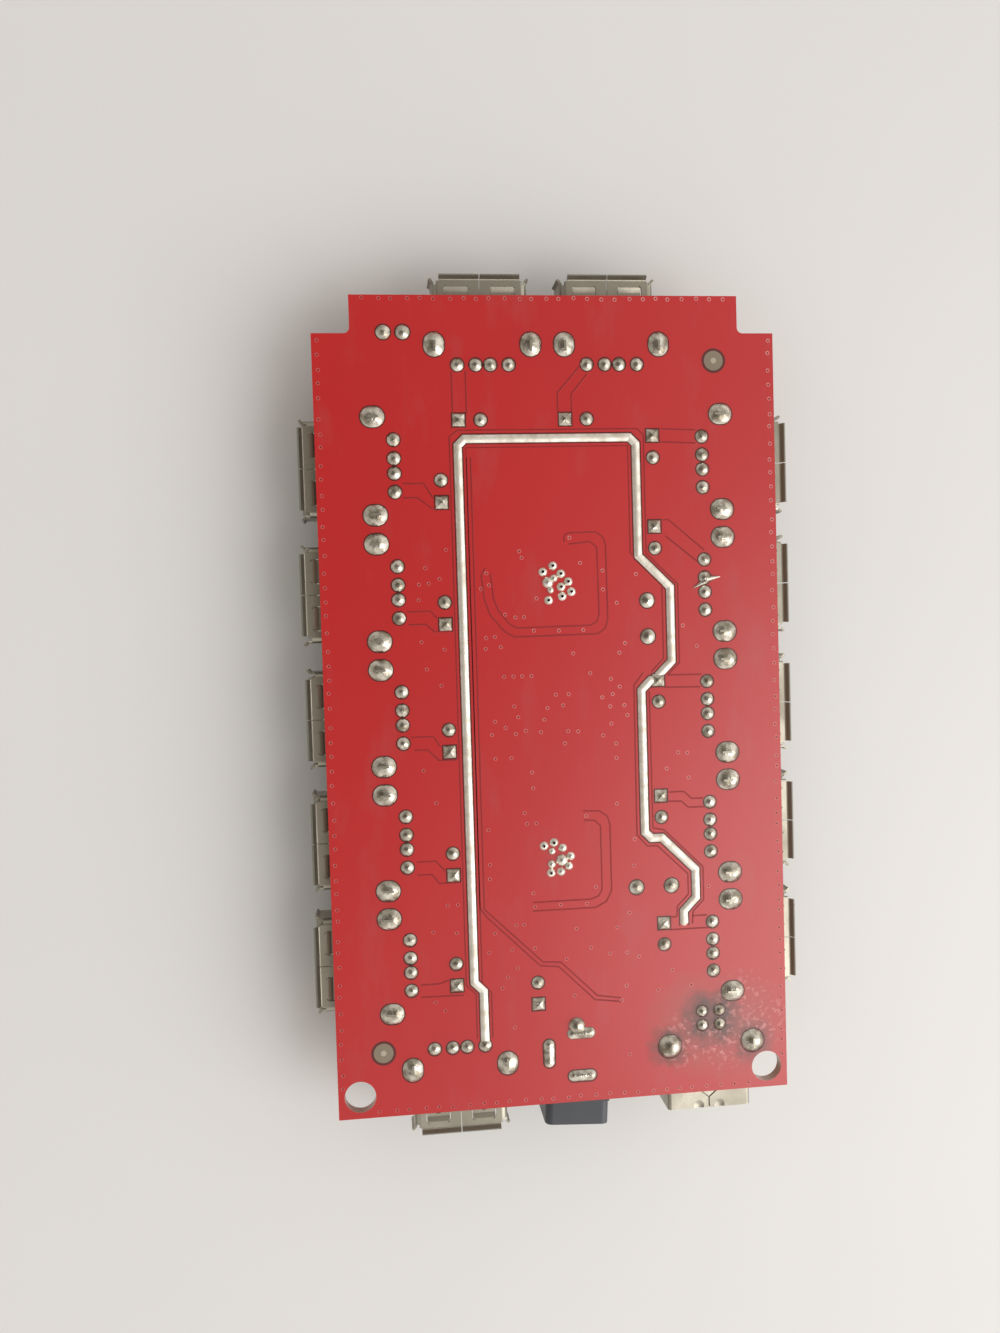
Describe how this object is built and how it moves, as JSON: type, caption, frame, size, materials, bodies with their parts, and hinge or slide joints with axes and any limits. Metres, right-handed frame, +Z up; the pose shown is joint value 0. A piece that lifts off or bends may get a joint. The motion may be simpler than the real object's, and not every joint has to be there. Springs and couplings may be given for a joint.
{
  "type": "usb hub board",
  "caption": "Populated red circuit board of a data hub, lying on its components with the solder side up; plug sockets stand along its edges, with a round power jack at the near end.",
  "frame": {"origin": "middle of the footprint, level with the tops of the upturned capacitors that the board stands on", "axes": "+X across the board, to the right when the two-socket end is away; +Y along the board towards the two-socket end; +Z up out of the solder side"},
  "size_m": [0.0686, 0.1192, 0.0139],
  "materials": {
    "board": "red solder mask over glass-fibre laminate",
    "solder": "bright solder, hand finished",
    "shell_metal": "nickel plate, dulled",
    "white_plastic": "moulded",
    "contact_metal": "plated",
    "jack_plastic": "moulded",
    "spring_metal": "tin plate",
    "capacitor_can": "shrink sleeve over an aluminium can",
    "chip_package": "moulded",
    "crystal_can": "drawn can",
    "led_lens": "clear coloured",
    "ceramic": "fired"
  },
  "bodies": {
    "root": {"pcb": "board", "tinned_track": "solder", "solder_joints": "solder", "thermal_vias": "solder", "usb_a_shell_left_1": "shell_metal", "usb_a_shell_left_2": "shell_metal", "usb_a_shell_left_3": "shell_metal", "usb_a_shell_left_4": "shell_metal", "usb_a_shell_left_5": "shell_metal", "usb_a_shell_right_1": "shell_metal", "usb_a_shell_right_2": "shell_metal", "usb_a_shell_right_3": "shell_metal", "usb_a_shell_right_4": "shell_metal", "usb_a_shell_right_5": "shell_metal", "usb_a_shell_far_1": "shell_metal", "usb_a_shell_far_2": "shell_metal", "usb_a_shell_near_1": "shell_metal", "usb_a_insulator_left_1": "white_plastic", "usb_a_insulator_left_2": "white_plastic", "usb_a_insulator_left_3": "white_plastic", "usb_a_insulator_left_4": "white_plastic", "usb_a_insulator_left_5": "white_plastic", "usb_a_insulator_right_1": "white_plastic", "usb_a_insulator_right_2": "white_plastic", "usb_a_insulator_right_3": "white_plastic", "usb_a_insulator_right_4": "white_plastic", "usb_a_insulator_right_5": "white_plastic", "usb_a_insulator_far_1": "white_plastic", "usb_a_insulator_far_2": "white_plastic", "usb_a_insulator_near_1": "white_plastic", "usb_a_contacts_left_1": "contact_metal", "usb_a_contacts_left_2": "contact_metal", "usb_a_contacts_left_3": "contact_metal", "usb_a_contacts_left_4": "contact_metal", "usb_a_contacts_left_5": "contact_metal", "usb_a_contacts_right_1": "contact_metal", "usb_a_contacts_right_2": "contact_metal", "usb_a_contacts_right_3": "contact_metal", "usb_a_contacts_right_4": "contact_metal", "usb_a_contacts_right_5": "contact_metal", "usb_a_contacts_far_1": "contact_metal", "usb_a_contacts_far_2": "contact_metal", "usb_a_contacts_near_1": "contact_metal", "usb_b_shell": "shell_metal", "usb_b_insulator": "white_plastic", "usb_b_contacts": "contact_metal", "jack_housing": "jack_plastic", "jack_centre_pin": "spring_metal", "jack_sleeve_spring": "spring_metal", "jack_switch_spring": "spring_metal", "capacitors_left": "capacitor_can", "capacitors_right": "capacitor_can", "capacitors_far": "capacitor_can", "capacitor_near": "capacitor_can", "hub_chips": "chip_package", "hub_chip_leads": "spring_metal", "crystals": "crystal_can", "power_led": "led_lens", "chip_capacitors": "ceramic", "chip_resistors": "chip_package"}
  },
  "joints": []
}
